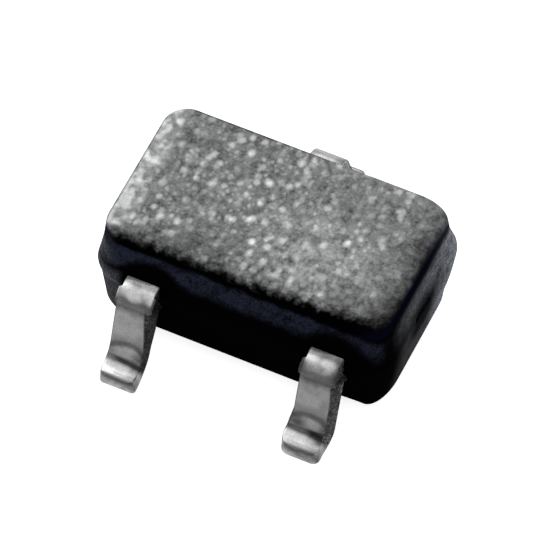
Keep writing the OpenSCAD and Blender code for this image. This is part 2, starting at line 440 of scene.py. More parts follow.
# The formed strip of a lead, outside and inside the body
strip = {
    "thickness": 0.125,
    "width": 0.235,
    "middle": 0.59,
    "pitch": 1.3,
    "shoulder": 0.695,
    "shoulderRadius": 0.015,
    "lean": 19,
    "ankleRadius": 0.1,
    "footLength": 0.04,
    "edgeRadius": 0.014,
    "stubFrom": 0.025,
    "stubTo": 0.095,
    "stubOut": 0.018,
    "stubSlope": 3,
    "burrOver": 0.06,  # run past the start of the bend over which the burr comes in
    "bulgeFrom": 0.34,  # distance from the toe where the ankle starts to swell
    "bulgeOver": 0.22,
    "bulgeToe": ((0, 0.1), (0.4, 1)),  # distances from the toe, and its share there
    "points": (60, 41, 40, 25, 12),  # along the flat, the shoulder, the leg, the ankle, the foot
    "edgeSteps": 6,
}
post = {"width": 0.4, "outer": 0.575, "inner": 0.275}
paddle = {"width": 0.62, "outer": 0.425, "inner": -0.175}


# Points along the middle of the strip, root first: outward distance, height, heading
def stripPath(root, s=strip):
    flat, shoulder, leg, ankleCount, foot = s["points"]
    t = s["thickness"]
    lean = math.radians(s["lean"])
    top = s["middle"] + t / 2
    outer = s["shoulderRadius"] + t
    drop = top - outer - t - s["ankleRadius"]
    step = (math.sin(lean) * drop + s["ankleRadius"] + outer) / math.cos(lean)
    ankle = s["shoulder"] + step
    toe = ankle + s["footLength"]
    bend = s["shoulderRadius"] + t / 2
    turn = s["ankleRadius"] + t / 2
    path = []
    for k in np.linspace(0, 1, flat):
        path.append((root + (s["shoulder"] - root) * k, s["middle"], 0.0))
    for a in np.linspace(math.pi / 2, lean, shoulder)[1:]:
        path.append((s["shoulder"] + bend * math.cos(a), top - outer + bend * math.sin(a),
                     a - math.pi / 2))
    lowX = ankle - turn * math.cos(lean)
    lowZ = t + s["ankleRadius"] - turn * math.sin(lean)
    lastX, lastZ = path[-1][:2]
    for k in np.linspace(0, 1, leg)[1:]:
        path.append((lastX + (lowX - lastX) * k, lastZ + (lowZ - lastZ) * k, lean - math.pi / 2))
    for a in np.linspace(math.pi + lean, math.pi * 1.5, ankleCount)[1:]:
        path.append((ankle + turn * math.cos(a), t + s["ankleRadius"] + turn * math.sin(a),
                     a - math.pi * 1.5))
    for k in np.linspace(0, 1, foot)[1:]:
        path.append((ankle + (toe - s["edgeRadius"] - ankle) * k, t / 2, 0.0))
    return path, toe


# Half width of a lead at a distance out from the middle of the part. The stubs of the cut tie bar
# follow the strip, so they go by the run along it from the start of the shoulder bend.
def halfWidth(out, run, toe, plate, stubbed, toeRadius, s=strip):
    half = s["width"] / 2
    if out < plate["outer"]:
        return plate["width"] / 2
    if stubbed:
        half += max(0, min(s["stubOut"], s["stubSlope"] * (run - s["stubFrom"]),
                           s["stubSlope"] * (s["stubTo"] - run)))
    into = out - (toe - toeRadius)
    if into > 0:
        half -= toeRadius - math.sqrt(max(0, toeRadius ** 2 - into ** 2))
    return half


# burr: shearing leaves the back of the strip that much wider than its face. wearAndShade: here
# only wear, distances from the toe, and the burr's share left there. bulge: how far forming pushed
# the ankle out on one side.
def buildLead(plate, stubbed, turned, across, burr, wearAndShade, bulge, toeRadius, s=strip):
    path, toe = stripPath(plate["inner"])
    edge, half, steps = s["edgeRadius"], s["thickness"] / 2, s["edgeSteps"]
    stations = [(*spot, 0.0) for spot in path]
    # the toe's rim is rounded off: the last rings shrink as they close
    for k in range(1, steps + 1):
        a = math.pi / 2 * k / steps
        stations.append((toe - edge * (1 - math.sin(a)), half, 0.0, edge * (1 - math.cos(a))))
    section = []
    for quarter, (sx, sv) in enumerate(((1, -1), (1, 1), (-1, 1), (-1, -1))):
        for k in range(steps + 1):
            a = math.pi / 2 * (quarter - 1 + k / steps)
            section.append((sx, sv * (half - edge) + edge * math.sin(a), edge * math.cos(a)))
    sides = len(section)
    runs = [0.0]
    for one, two in zip(stations, stations[1:]):
        runs.append(runs[-1] + math.dist(one[:2], two[:2]))
    points, along, cut = [], [], []
    beforeBend = s["shoulder"] - plate["inner"]
    for (out, z, heading, shrink), run in zip(stations, runs):
        past, left = run - beforeBend, runs[-1] - run
        ragged = burr * ramp(past, 0, s["burrOver"]) * np.interp(left, *wearAndShade)
        swollen = ramp(s["bulgeFrom"] - left, 0, s["bulgeOver"]) * np.interp(left, *s["bulgeToe"])
        for sx, v, reach in section:
            v = max(-half + shrink, min(half - shrink, v))
            spot = out - v * math.sin(heading)
            wide = halfWidth(spot, past, toe, plate, stubbed, toeRadius)
            wide += ragged * (0.5 - v / (2 * half)) - edge
            if sx > 0:
                wide += bulge * eased(swollen)
            x = sx * (wide - shrink) + reach
            points.append((turned * x + across, turned * spot, z + v * math.cos(heading)))
            along.append(left)
            cut.append(max(abs(reach), shrink) / edge)
    faces = [face[::-1] for face in ringFaces(len(stations), sides)]
    faces.append(tuple(range(sides)))
    faces.append(tuple(range((len(stations) - 1) * sides, len(stations) * sides))[::-1])
    return points, faces, along, cut


def addMarks(piece, **marks):
    for name, values in marks.items():
        layer = piece.data.attributes.new(name, "FLOAT", "POINT")
        layer.data.foreach_set("value", np.array(values, np.float32))


# Dark filled epoxy: a frosted grey top full of light filler grains, and smooth near-black walls.
# Tones are plain greys, and places are in millimetres on the part, with Y from the body's middle.
# A pair is where something starts and where it is full, and a third number is how much it does
# there. For a patch that is strongest in its middle, the pair is that middle and its reach. What
# is marked with an arrow is measured towards that side, so it is positive there.
compound = {
    # what covers the whole body: scales and shares
    "mottle": ((9, 1.1), (18, 1.3), (60, 1.3)),
    "soft": (7, 3),
    # the frosted top
    "tint": (0.985, 0.995, 1.0, 1),
    "ground": 0.212,
    # grains: scale, size, how rare and how bright
    "grains": ((9.4, 0.35, 0.25, 0.36), (11.6, 0.36, 0.30, 0.34), (17, 0.36, 0.25, 0.20),
               (26, 0.38, 0.20, 0.12)),
    "bunchScale": 4.5,
    "bunched": (0.36, 0.53, 0.6),  # noise from, to, and how much brighter the grains are there
    "unbunched": 0.42,
    "fewerRight": (0.6, 0.85, 0.55),
    "moreLeft": (-0.3, 0.6, 0.3),
    # towards the front the grains lie close together, like cobbles
    "cobbles": (19, 0.62, -0.4),  # scale, size and how rare
    "cobbleMean": 0.33,
    "cobbleLight": 0.09,
    "cobbledFrom": (-0.3, 0.1),
    "cobbledTo": (0.65, 0.88),
    "cobbledBack": (-0.22, 0.1),
    "cobbledLeast": 0.2,
    "fewerCobbled": 0.45,
    # a painted highlight along the rim at the -X end
    "rimHighlightEnd": (0.80, 0.93, 0.32),  # -> -X
    "rimHighlightBack": (0.50, 0.60, 0.6),
    "rimHighlightLeast": 0.4,
    "blobs": (13, 1),  # scale and detail
    "blobEdge": (0.42, 0.62),
    # a paler patch towards the front, its reach along X and Y, painted shade at the front corners,
    # and darker towards the back
    "palerAt": (0.31, -0.12),
    "palerReach": (0.55, 0.36),
    "palerBy": 0.4,
    "plainShare": 0.92,
    "darkRight": (0.45, 0.7, 0.32),
    "darkLeft": (-0.32, 0.6, 0.36),
    "darkFront": (0.26, 0.42),  # -> -Y
    "darkBack": (0.40, 0.48),
    "darkBackLeft": (-0.3, 0.5, 0.18),
    # a line of painted shade where the rim turns away, at the -X end and at the back
    "lineEnd": (0.975, 0.99),  # -> -X
    "lineBack": (0.53, 0.55),
    "lineTo": (-0.3, 0.1),
    "lineDark": 0.5,
    # where the top's frost ends: at the front and the +X end it gives way early to painted shade
    # on the rim, and at the back it reaches further over the rim as painted light
    "edgeWander": (0.03, 0.02),  # with the mottle and with the cobbles
    "frontFade": (-0.566, -0.462),
    "frontDrawn": ((0.1, 0.9, 0.035), (0.75, 0.98, 0.015)),  # -> +X, and -> -X
    "rightFade": (0.81, 1.055),
    "rightDrawn": (0.1, 0.5, 0.035),  # -> -Y
    "rightKept": (0.3, 0.5, 0.7),
    "rimFade": (0.908, 0.946),
    "rimLift": (-0.3, 0.3, 0.03),
    "rimLiftBack": (0.4, 0.5),
    "rimDip": (0.8, 0.95, 0.012),
    "rimDipFront": (0.2, 0.45),
    # the long sides: the -Y side painted nearly black as shade, the back dark grey, and a painted
    # blue reflection in the upper wall, with painted shade arching over the leads
    "black": (0.0006, 0.0006, 0.0010, 1),
    "backGrey": (0.0065, 0.0068, 0.0080, 1),
    "frontSide": (-0.1, 0.1),  # -> -Y
    "reflectionBlue": (0.0195, 0.0220, 0.0380, 1),
    "bandFrom": (0.67, 0.77),
    "bandTo": (0.845, 0.90),
    "bandSway": 0.09,
    "bandLift": (0.85, 1.0, 0.06),
    "bandRight": (0.3, 0.9, 0.25),
    "bandEnd": (0.965, 1.015, 0.95),
    "bandLeft": (0.5, 0.85, 1.3),  # -> -X
    "bandMottle": (1.3, 0.95),  # contrast and level
    "archSide": 0.05,
    "archFoot": 0.60,
    "archScale": (4.3, 4.6),  # along X and up
    "archEdge": (0.7, 1.6),
    # the ends: a painted grey reflection, lighter at the -X end and towards the back, painted
    # shade under the rim, and a satin coat
    "endReflectionGrey": (0.83, 0.87, 1.0, 1),
    "rightEnd": (0.7, 0.9),
    "endFrom": (0.52, 0.30),  # X at the back, and how much further out at the front
    "endFull": 0.96,
    "endCorner": (-0.72, -0.45),
    "endCornerRight": 0.25,
    "endTone": 0.029,
    "endSlope": (0.5, -0.06),  # height, and change of tone above it
    "endLeast": 0.009,
    "endBand": (0.735, 0.13, 0.125),
    "endTop": (0.79, 0.87),
    "endTopDark": (0.25, 0.4),  # at both ends, and more at the +X end
    "endBackward": (-0.42, 0.5, 1.1),
    "endForward": 0.4,
    "leftEndLight": 1.7,
    "endMottle": (0.5, 0.7),  # in where the ends' grey lies, and in its tone
    "backCorner": (0.05, 0.5, 0.30),
    "backCornerTop": 0.75,
    "backFoot": (-0.1, 0.4, 0.12),
    "backFootTop": (0.28, 0.5),
    "leftRim": (0.8, 0.95, 0.022),  # -> -X
    "leftRimFrom": (0.76, 0.86),
    # the scar of the gate at the +X end: its place and scale along Y and up
    "scarAt": (-0.01, 0.50),
    "scarScale": (4.6, 5.2),
    "scarEdge": (0.0, 1.4, 0.84),
    "scarSway": 0.04,
    "tornGrain": (45, 3),
    "torn": (0.45, 0.7, 0.012),
    # a painted highlight under the parting edge, at the corner beside the -X lead
    "cornerGlintX": (-0.85, -0.78),
    "cornerGlintY": (-0.5, -0.3),
    "cornerGlintZ": (0.63, 0.68),
    "cornerGlintTone": 0.045,
    "cornerGlintBand": (0.56, 0.09, 0.05),
    # fine dust: scale, contrast and level
    "dust": (100, 3.0, 0.82),
    # a stripe of deep blue painted shade where the rim turns down to the +X end
    "shadeStripeBlue": (0.0026, 0.0028, 0.0105, 1),
    "stripe": (0.895, 0.075, 0.8),
    "stripeEnd": (0.8, 0.95),
    "stripeBack": (0.3, 0.55, 0.6),
    # gloss and relief: walls first, then the top
    "roughness": (0.48, 0.85),
    "coat": (0.003, 0.07),
    "coatRoughness": 0.3,
    "relief": 0.004,
    "reliefGrains": 0.8,
    "reliefWalls": 0.15,
}


# The frosted top's colour, its grains and its cobbles, with its painted light and shade
def frostedTop(f, place, x, y, mottle, c=compound):
    cobbled = x.rise(*c["cobbledFrom"]) * x.fall(*c["cobbledTo"]) * y.fall(*c["cobbledBack"])
    cobbled = cobbled.atLeast(c["cobbledLeast"])
    cobble = (f.specks(place, *c["cobbles"]) - c["cobbleMean"]) * cobbled
    grains = sum(f.specks(place, *kind) * light for *kind, light in c["grains"])
    fewer = (cobbled - c["cobbledLeast"]) * c["fewerCobbled"]
    grains = grains * (x.less(*c["fewerRight"]) - fewer + x.hump(*c["moreLeft"]))
    bunch = f.grain(place, c["bunchScale"]).rise(*c["bunched"]) + c["unbunched"]
    # a painted highlight along the -X rim, broken up by blobs
    blobs = f.grain(place, *c["blobs"]).rise(*c["blobEdge"]) + c["rimHighlightLeast"]
    rimHighlight = (-x).rise(*c["rimHighlightEnd"]) * blobs * y.less(*c["rimHighlightBack"])
    tone = (mottle + 1) * c["ground"] + grains * bunch + rimHighlight + cobble * c["cobbleLight"]

    (middleX, middleY), (reachX, reachY) = c["palerAt"], c["palerReach"]
    paler = (1 - ((x - middleX) / reachX) ** 2 - ((y - middleY) / reachY) ** 2).atLeast(0)
    # painted shade towards the front corners, and darker towards the back at the left
    corner = (x.rise(*c["darkRight"]) + x.hump(*c["darkLeft"])) * (-y).rise(*c["darkFront"])
    back = y.rise(*c["darkBack"]) * x.hump(*c["darkBackLeft"])
    tone = tone * (paler * c["palerBy"] + c["plainShare"]) * (1 - corner) * (1 - back)
    # painted shade where the rim turns away from the light
    line = (-x).rise(*c["lineEnd"]).atLeast(y.rise(*c["lineBack"]) * x.fall(*c["lineTo"]))
    return f.shade(c["tint"], tone * (1 - line * c["lineDark"])), grains, cobble


# 1 on the frosted top, 0 on the walls. At the front and the +X end the frost gives way early to
# painted shade on the rim, and at the back it reaches further over the rim as painted light.
def frostEdgeAndRimShade(x, y, z, wander, c=compound):
    drawnRight, drawnLeft = c["frontDrawn"]
    drawn = x.rise(*drawnRight) + (-x).rise(*drawnLeft)
    front = (y + wander - drawn).rise(*c["frontFade"])
    right = (x - wander + (-y).rise(*c["rightDrawn"])).rise(*c["rightFade"])
    right = right * y.less(*c["rightKept"])
    lift = y.rise(*c["rimLiftBack"]) * x.rise(*c["rimLift"])
    dip = x.rise(*c["rimDip"]) * y.fall(*c["rimDipFront"])
    return front * (1 - right) * (z + lift - dip).rise(*c["rimFade"])


# Share of the painted blue reflection on the long sides,
# with painted shade arching over the leads
def paintedSheenBand(x, z, front, mottle, soft, c=compound, s=strip):
    beside = abs(abs(x - c["archSide"]) - s["pitch"] / 2) * front + abs(x) * (1 - front)
    sideways, upwards = c["archScale"]
    arch = (beside * sideways) ** 2 + ((z - c["archFoot"]) * upwards) ** 2
    height = z + (soft - 0.5) * c["bandSway"] + x.rise(*c["bandLift"])
    band = height.rise(*c["bandFrom"]) * height.fall(*c["bandTo"]) * arch.rise(*c["archEdge"])
    band = band * x.less(*c["bandRight"]) * x.less(*c["bandEnd"])
    gain, base = c["bandMottle"]
    return band * ((-x).rise(*c["bandLeft"]) + 1) * (mottle * gain + base)


# 1 all round the scar of the gate, and less in it
def gateScar(y, z, right, soft, c=compound):
    (scarY, scarZ), (sideways, upwards) = c["scarAt"], c["scarScale"]
    off = ((y - scarY) * sideways) ** 2
    off = off + ((z - scarZ - soft * c["scarSway"]) * upwards) ** 2
    return 1 - off.fall(*c["scarEdge"]) * right


# Tone of the painted reflection on the ends, with painted shade under the rim, without the torn
# scar and the painted corner highlight
def endTone(x, y, z, right, rim, scar, c=compound):
    height, slope = c["endSlope"]
    low = ((z - height) * slope + c["endTone"]).atLeast(c["endLeast"])
    dark, moreDark = c["endTopDark"]
    tone = (z.hump(*c["endBand"]) + low) * (1 - rim * (right * moreDark + dark)) * scar
    left = c["leftEndLight"]
    tone = tone * (y.rise(*c["endBackward"]) + c["endForward"]) * (left - right * (left - 1))
    behind = y.rise(*c["backCorner"]) * (1 - rim * c["backCornerTop"])
    behind = behind + y.rise(*c["backFoot"]) * z.fall(*c["backFootTop"])
    # a painted highlight on the -X end just below the rim
    rimHighlight = (-x).rise(*c["leftRim"]) * z.rise(*c["leftRimFrom"])
    return tone.atLeast(behind * right).atLeast(rimHighlight)


def mouldingCompound(c=compound, m=moulding):
    f = Finish("mouldingCompound")
    place = f.place()
    x, y, z = f.split(place)
    y = y + m["shift"]
    mottle = sum((f.grain(place, scale) - 0.5) * share for scale, share in c["mottle"])
    soft = f.grain(place, *c["soft"])

    frosted, grains, cobble = frostedTop(f, place, x, y, mottle)
    withMottle, withCobbles = c["edgeWander"]
    top = frostEdgeAndRimShade(x, y, z, mottle * withMottle + cobble * withCobbles)

    # painted shade: the -Y side nearly black, the back a dark grey
    front = (-y).rise(*c["frontSide"])
    wall = f.mixColour(1 - front, c["black"], c["backGrey"])
    # the painted blue reflection in the upper wall
    wall = f.mixColour(paintedSheenBand(x, z, front, mottle, soft), wall, c["reflectionBlue"])

    right, rim = x.rise(*c["rightEnd"]), z.rise(*c["endTop"])
    scar = gateScar(y, z, right, soft)
    torn = f.grain(place, *c["tornGrain"]).rise(*c["torn"]) * (1 - scar)
    # the painted grey reflection on the ends, fading towards the front corners
    start, further = c["endFrom"]
    ends = abs(x).rise(front * further + start, c["endFull"])
    ends = ends * (y - right * c["endCornerRight"]).rise(*c["endCorner"])
    # a painted highlight under the parting edge, at the corner beside the -X lead
    cornerGlint = x.fall(*c["cornerGlintX"]) * z.fall(*c["cornerGlintZ"]) * y.fall(*c["cornerGlintY"])
    tone = endTone(x, y, z, right, rim, scar)
    tone = tone.atLeast(cornerGlint * (z.hump(*c["cornerGlintBand"]) + c["cornerGlintTone"]))
    inPlace, inTone = c["endMottle"]
    ends = ends.atLeast(cornerGlint) * (mottle * inPlace + 1)
    wall = f.mixColour(ends, wall, f.shade(c["endReflectionGrey"], tone * (mottle * inTone + 1) + torn))

    scale, contrast, level = c["dust"]
    dust = ((f.grain(place, scale, 1) - 0.5) * contrast + level).atLeast(0)
    wall = f.mixColour(dust, c["black"], wall)
    # a stripe of deep blue painted shade where the rim turns down to the +X end
    stripe = z.hump(*c["stripe"]) * x.rise(*c["stripeEnd"]) * y.less(*c["stripeBack"])
    wall = f.mixColour(stripe, wall, c["shadeStripeBlue"])

    dull, frost = c["roughness"]
    little, more = c["coat"]
    relief = top * (grains * c["reliefGrains"] + mottle) + mottle * c["reliefWalls"]
    shader = f.node("BsdfPrincipled", None, {
        "Base Color": f.mixColour(top, wall, frosted),
        "Roughness": top * (frost - dull) + dull,
        "Specular IOR Level": 0.0,
        "Coat Weight": (1 - top) * (1 - rim) * scar * (ends * (more - little) + little),
        "Coat Roughness": c["coatRoughness"],
        "Normal": f.bump(relief, c["relief"])}).out()
    return f.close(shader)


# Satin tin plate. The tone runs along the strip, by distance from the toe, and holds painted light
# and shade: a painted highlight on the foot, painted shade in the creases at the ankle, a leg
# painted greyer as shade, painted shade in the bend and beside the body, a painted highlight on
# the shoulder.
# Places across a lead run from -0.5 to 0.5 over its width, and places along it are distances from
# the toe. Pairs, third numbers and arrows read as for the compound, and two groups are for across
# and for along.
tin = {
    "tone": ((0.0, 0.13), (0.012, 0.34), (0.03, 0.66), (0.075, 0.74), (0.122, 0.62), (0.16, 0.06),
             (0.192, 0.03), (0.235, 0.215), (0.30, 0.23), (0.322, 0.09), (0.342, 0.065),
             (0.368, 0.16), (0.405, 0.215), (0.56, 0.205), (0.622, 0.07), (0.65, 0.14),
             (0.675, 0.50), (0.715, 0.80), (0.735, 0.92), (0.75, 0.36), (0.80, 0.05)),
    # grains: scale and detail, and what they do
    "fineScale": 60,
    "fine": (0.35, 0.75, 0.09),
    "fineGrey": (0.08, 0.08, 0.08, 1),
    "gritGrain": (105, 1),
    "grit": (0.9, 0.97),  # contrast and level
    "soft": (10, 3),
    "broadScale": 5,
    "blotch": (9, 1),
    "blotchEdge": (0.3, 0.7),
    # the side with two leads, and the +X one of them
    "nearSide": (-0.05, 0.05),  # -> -Y
    "secondLead": (0.1, 0.3),  # -> +X
    # where the marks along the strip shift: with the grains, across the ankle and on the shoulder
    "broadShift": 0.03,
    "softShift": 0.02,
    "slant": 0.04,
    "slantFrom": (0.05, 0.12),
    "slantTo": (0.18, 0.24),
    "arch": (0.29, 0.13, 0.17),
    "shoulder": (0.62, 0.68),
    "ragged": 0.024,
    "firstTilt": 0.01,
    "secondHoop": 0.035,
    "secondLag": -0.004,
    # painted shade that darkens the face, and painted highlights that lighten it
    "overall": 1.04,
    "clouds": (0.35, 0.65, 0.22),
    "darkest": 0.15,
    "shadedSide": (0.15, 0.5, 0.16),
    "farSide": 0.56,
    "secondDark": 0.08,
    "secondRoot": (0.68, 0.72, 0.17),
    "shoulderBlotch": (0.45, 0.3),
    "patchSides": (0.08, 0.42),
    "patch": (0.255, 0.08, 0.5),
    "patchMiddle": (-0.05, 0.15),  # on the -X lead, and how much further on the +X one
    "patchNear": (0.4, 0.6),
    "openCrease": ((-0.15, 0.15), (0.205, 0.045, 0.7)),
    "darkShoulder": ((-0.35, -0.05), (0.665, 0.04, 0.4)),
    "shoulderHighlights": (((0.36, 0.24), (0.688, 0.035, 0.7)), ((-0.42, 0.22), (0.735, 0.04, 0.7))),
    "footSide": ((0.15, 0.45), (0.115, 0.05, 0.35)),
    "footHighlight": ((-0.45, 0.22), (0.12, 0.05, 0.4)),
    "creaseEnd": ((-0.45, -0.1), (0.18, 0.055, 0.9)),
    "creaseEndTone": 0.36,
    "creaseEndSecond": (0.28, 0.4),  # further across and darker
    # the stubs of the cut tie bar: dark with painted shade, but the first has a painted highlight
    # on its -X side
    "stubSides": (0.45, 0.52, 0.95),
    "stubFrom": (0.58, 0.62),
    "stubTone": (0.3, 0.7, 0.05),
    "stubLeast": 0.02,
    "stubSecond": 0.5,
    "stubHighlightFrom": (0.735, 0.765),  # -> -X
    "stubHighlight": (0.64, 0.675, 0.3),
    # the cut edges: dull, with painted shade, where the strip was cut by shearing, and a painted
    # highlight round the foot
    "onCut": (0.4, 0.85),
    "cutEdgeShade": 0.045,
    "shearedClouds": (0.3, 0.7),
    "shearedLeast": 0.5,
    "shearedGrain": (80, 1),
    "shearedRough": (0.35, 0.7, 1.5),
    "shearedBase": 0.35,
    "farLight": (0.5, 0.64, 5),
    "rightLight": (-0.2, 0.2),  # -> +X
    "stubSideFrom": (0.5, 0.56),
    "stubSide": (0.655, 0.09, 0.7),
    "rolledOver": (0.63, 0.70),
    "rolledOverSlope": 0.5,
    "rolledOverSecond": 0.06,
    "rolledOverFrom": (0.3, 0.4),
    "rolledOverTo": (0.61, 0.65),
    "rolledOverShare": 0.5,
    "footTo": (0.10, 0.145),
    "footUpper": (0.05, 0.13, 0.13),  # by height
    "footMiddle": (0.09, 0.04, 0.12),
    "footTone": 0.07,
    # the blunt end of the toe: tone by height, painted shade at the top and a painted floor
    # reflection lower down
    "toeFace": ((0.0, 0.38), (0.03, 0.27), (0.06, 0.15), (0.09, 0.05), (0.115, 0.05),
                (0.125, 0.11)),
    "toeShift": 0.03,
    "toeTo": (0.008, 0.02),
    "toeGrain": (30, 2),
    "toeRough": (0.35, 0.65, 0.5),
    "toeBase": 0.7,
    # gloss and relief
    "flatFrom": (0.70, 0.722),
    "flatMetal": 0.15,
    "shearedMetal": 0.06,
    "roughness": 0.26,
    "softRoughness": 0.15,
    "relief": 0.0015,
    "reliefFine": 0.5,
}


# Tone of the rolled face, with its painted shade and painted highlights
def rolledFace(f, place, along, across, near, second, soft, blotch, c=tin):
    shoulder = along.rise(*c["shoulder"])
    slant = across * along.rise(*c["slantFrom"]) * along.fall(*c["slantTo"]) * c["slant"]
    slant = slant + across ** 2 * along.hump(*c["arch"])
    lean = (abs(across) + across) * second * c["secondHoop"]
    lean = lean + across * (1 - second) * near * c["firstTilt"]
    slant = slant + ((blotch - 0.5) * c["ragged"] - lean) * shoulder
    broad = f.grain(place, c["broadScale"])
    sway = (broad - 0.5) * c["broadShift"] + (soft - 0.5) * c["softShift"]
    # the painted light and shade along the strip, shifted by the grains and the slants
    tone = f.greys(along + sway + slant + second * c["secondLag"], c["tone"])

    # painted shade towards the +across edge, on the common lead and on the +X lead, and painted
    # highlights in blotches on the shoulder
    wearAndShade = across.rise(*c["shadedSide"]) + (1 - near) * (1 - c["farSide"])
    wearAndShade = wearAndShade + second * (along.rise(*c["secondRoot"]) + c["secondDark"])
    level, gain = c["shoulderBlotch"]
    wearAndShade = wearAndShade - (blotch - level) * shoulder * near * gain
    # painted shade towards the leg's edges
    (middle, further), (least, more) = c["patchMiddle"], c["patchNear"]
    patch = abs(across - second * further - middle).rise(*c["patchSides"])
    wearAndShade = wearAndShade + patch * along.hump(*c["patch"]) * (near * more + least)
    # the painted shade of the ankle's crease opens to the right on the +X lead, whose shoulder has
    # painted shade at its left
    sides, lengths = c["openCrease"]
    wearAndShade = wearAndShade + second * across.rise(*sides) * along.hump(*lengths)
    sides, lengths = c["darkShoulder"]
    wearAndShade = wearAndShade + second * across.fall(*sides) * along.hump(*lengths)
    # two painted highlights on the other one's shoulder
    shoulderHighlights = sum(across.hump(*sides) * along.hump(*lengths) for sides, lengths in c["shoulderHighlights"])
    wearAndShade = wearAndShade - shoulderHighlights * (1 - second) * near
    # painted shade at the foot's +across side, and a painted highlight on the +X lead's foot
    sides, lengths = c["footSide"]
    wearAndShade = wearAndShade + across.rise(*sides) * along.hump(*lengths)
    sides, lengths = c["footHighlight"]
    wearAndShade = wearAndShade - second * across.hump(*sides) * along.hump(*lengths)
    share = (c["overall"] - soft.rise(*c["clouds"]) - wearAndShade).atLeast(c["darkest"])

    # where the ankle's painted crease shade ends, a lighter grey
    (sides, lengths), (further, darker) = c["creaseEnd"], c["creaseEndSecond"]
    creaseEnd = (across - second * further).fall(*sides) * along.hump(*lengths) * near
    creaseTone = f.grey(soft * (1 - second * darker) * c["creaseEndTone"])
    return f.mixColour(creaseEnd, f.shade(tone, share), creaseTone)


# Painted shade on the cut edges of the strip, with rough grain
def shadedCutEdge(f, place, x, along, across, near, soft, c=tin):
    # painted light: brighter on the common lead from its shoulder in and towards +X; painted shade
    # on the stubs' sides
    light = (1 - near) * along.rise(*c["farLight"]) + x.rise(*c["rightLight"]) + 1
    stubSide = abs(across).rise(*c["stubSideFrom"]) * along.hump(*c["stubSide"]) * near
    rough = f.grain(place, *c["shearedGrain"]).rise(*c["shearedRough"]) + c["shearedBase"]
    clouds = soft.rise(*c["shearedClouds"]) + c["shearedLeast"]
    return f.grey(clouds * light * (1 - stubSide) * rough * c["cutEdgeShade"])


def tinPlate(c=tin, s=strip):
    f = Finish("tinPlate")
    place = f.place()
    x, y, z = f.split(place)
    along = f.node("Attribute", {"attribute_name": "along"}).out("Fac")
    cut = f.node("Attribute", {"attribute_name": "cut"}).out("Fac")
    fine = f.grain(place, c["fineScale"])
    soft = f.grain(place, *c["soft"])
    blotch = f.grain(place, *c["blotch"]).rise(*c["blotchEdge"])

    # near is 1 on the side with two leads, second is 1 on the +X one of them
    near = (-y).rise(*c["nearSide"])
    across = (x - (x.rise(*c["nearSide"]) - 0.5) * near * s["pitch"]) / s["width"]
    second = x.rise(*c["secondLead"])
    rolled = rolledFace(f, place, along, across, near, second, soft, blotch)

    # painted shade on the stubs, and a painted highlight on the first lead's -X stub
    stub = abs(across).rise(*c["stubSides"]) * near * along.rise(*c["stubFrom"])
    stubHighlight = (-x).rise(*c["stubHighlightFrom"]) * along.rise(*c["stubHighlight"]) + c["stubLeast"]
    stubTone = soft.rise(*c["stubTone"]) * (1 - second * c["stubSecond"]) + stubHighlight
    rolled = f.mixColour(stub, rolled, f.grey(stubTone))

    cutEdgeShade = shadedCutEdge(f, place, x, along, across, near, soft)
    # painted shade on the leg where its face rolls over into the +across edge
    over = across + along * c["rolledOverSlope"] - second * c["rolledOverSecond"]
    over = over.rise(*c["rolledOver"]) * along.rise(*c["rolledOverFrom"])
    over = over * along.fall(*c["rolledOverTo"]) * near
    rolled = f.mixColour(over, rolled, f.shade(cutEdgeShade, c["rolledOverShare"]))

    # a painted highlight on the foot's cut sides, brighter towards the top
    foot, toeEnd = along.fall(*c["footTo"]), along.fall(*c["toeTo"])
    footTone = z.rise(*c["footUpper"]) + along.hump(*c["footMiddle"]) + c["footTone"]
    edge = f.mixColour(foot, cutEdgeShade, f.grey(footTone))
    # the toe's blunt end: painted shade at the top, a painted floor reflection lower down
    height = z + (soft + blotch - 1) * c["toeShift"]
    rough = f.grain(place, *c["toeGrain"]).rise(*c["toeRough"]) + c["toeBase"]
    edge = f.mixColour(toeEnd, edge, f.shade(f.greys(height, c["toeFace"]), rough))

    onCut = cut.rise(*c["onCut"])
    contrast, level = c["grit"]
    grit = ((f.grain(place, *c["gritGrain"]) - 0.5) * contrast + 1) * level
    colour = f.shade(f.mixColour(onCut, rolled, edge), grit)
    colour = f.mixColour(fine.rise(*c["fine"]), colour, c["fineGrey"])
    dull = onCut * (1 - toeEnd) * (1 - foot)
    metal = along.less(*c["flatFrom"], 1 - c["flatMetal"]) * (1 - dull * (1 - c["shearedMetal"]))
    shader = f.node("BsdfPrincipled", None, {
        "Base Color": colour,
        "Metallic": metal,
        "Specular IOR Level": 0.0,
        "Roughness": soft * c["softRoughness"] + c["roughness"],
        "Normal": f.bump(fine * c["reliefFine"] + soft, c["relief"])}).out()
    return f.close(shader)


# The sealed inner pieces: one plain recipe each, with fine grain in colour and roughness
inner = {
    "softSolder": {"nodes": ["die_attach"], "metallic": 1.0, "roughness": 0.32, "scale": 45,
                   "dark": (0.30, 0.30, 0.30, 1), "light": (0.52, 0.52, 0.51, 1)},
    "wireGold": {"nodes": ["bond_wire_1", "bond_wire_2", "back_metal"],
                 "metallic": 1.0, "roughness": 0.12, "scale": 120,
                 "dark": (0.72, 0.42, 0.10, 1), "light": (0.95, 0.66, 0.24, 1)},
    "dieSilicon": {"nodes": ["silicon_die"], "metallic": 0.6, "roughness": 0.15, "scale": 80,
                   "dark": (0.07, 0.08, 0.10, 1), "light": (0.16, 0.18, 0.22, 1)},
    "filmGlass": {"nodes": ["glass_film"], "metallic": 0.0, "roughness": 0.02, "scale": 30,
                  "dark": (0.03, 0.10, 0.16, 1), "light": (0.08, 0.22, 0.30, 1)},
    "padAluminium": {"nodes": ["bond_pad_1", "bond_pad_2"],
                     "metallic": 1.0, "roughness": 0.2, "scale": 200,
                     "dark": (0.66, 0.67, 0.68, 1), "light": (0.88, 0.89, 0.90, 1)},
}
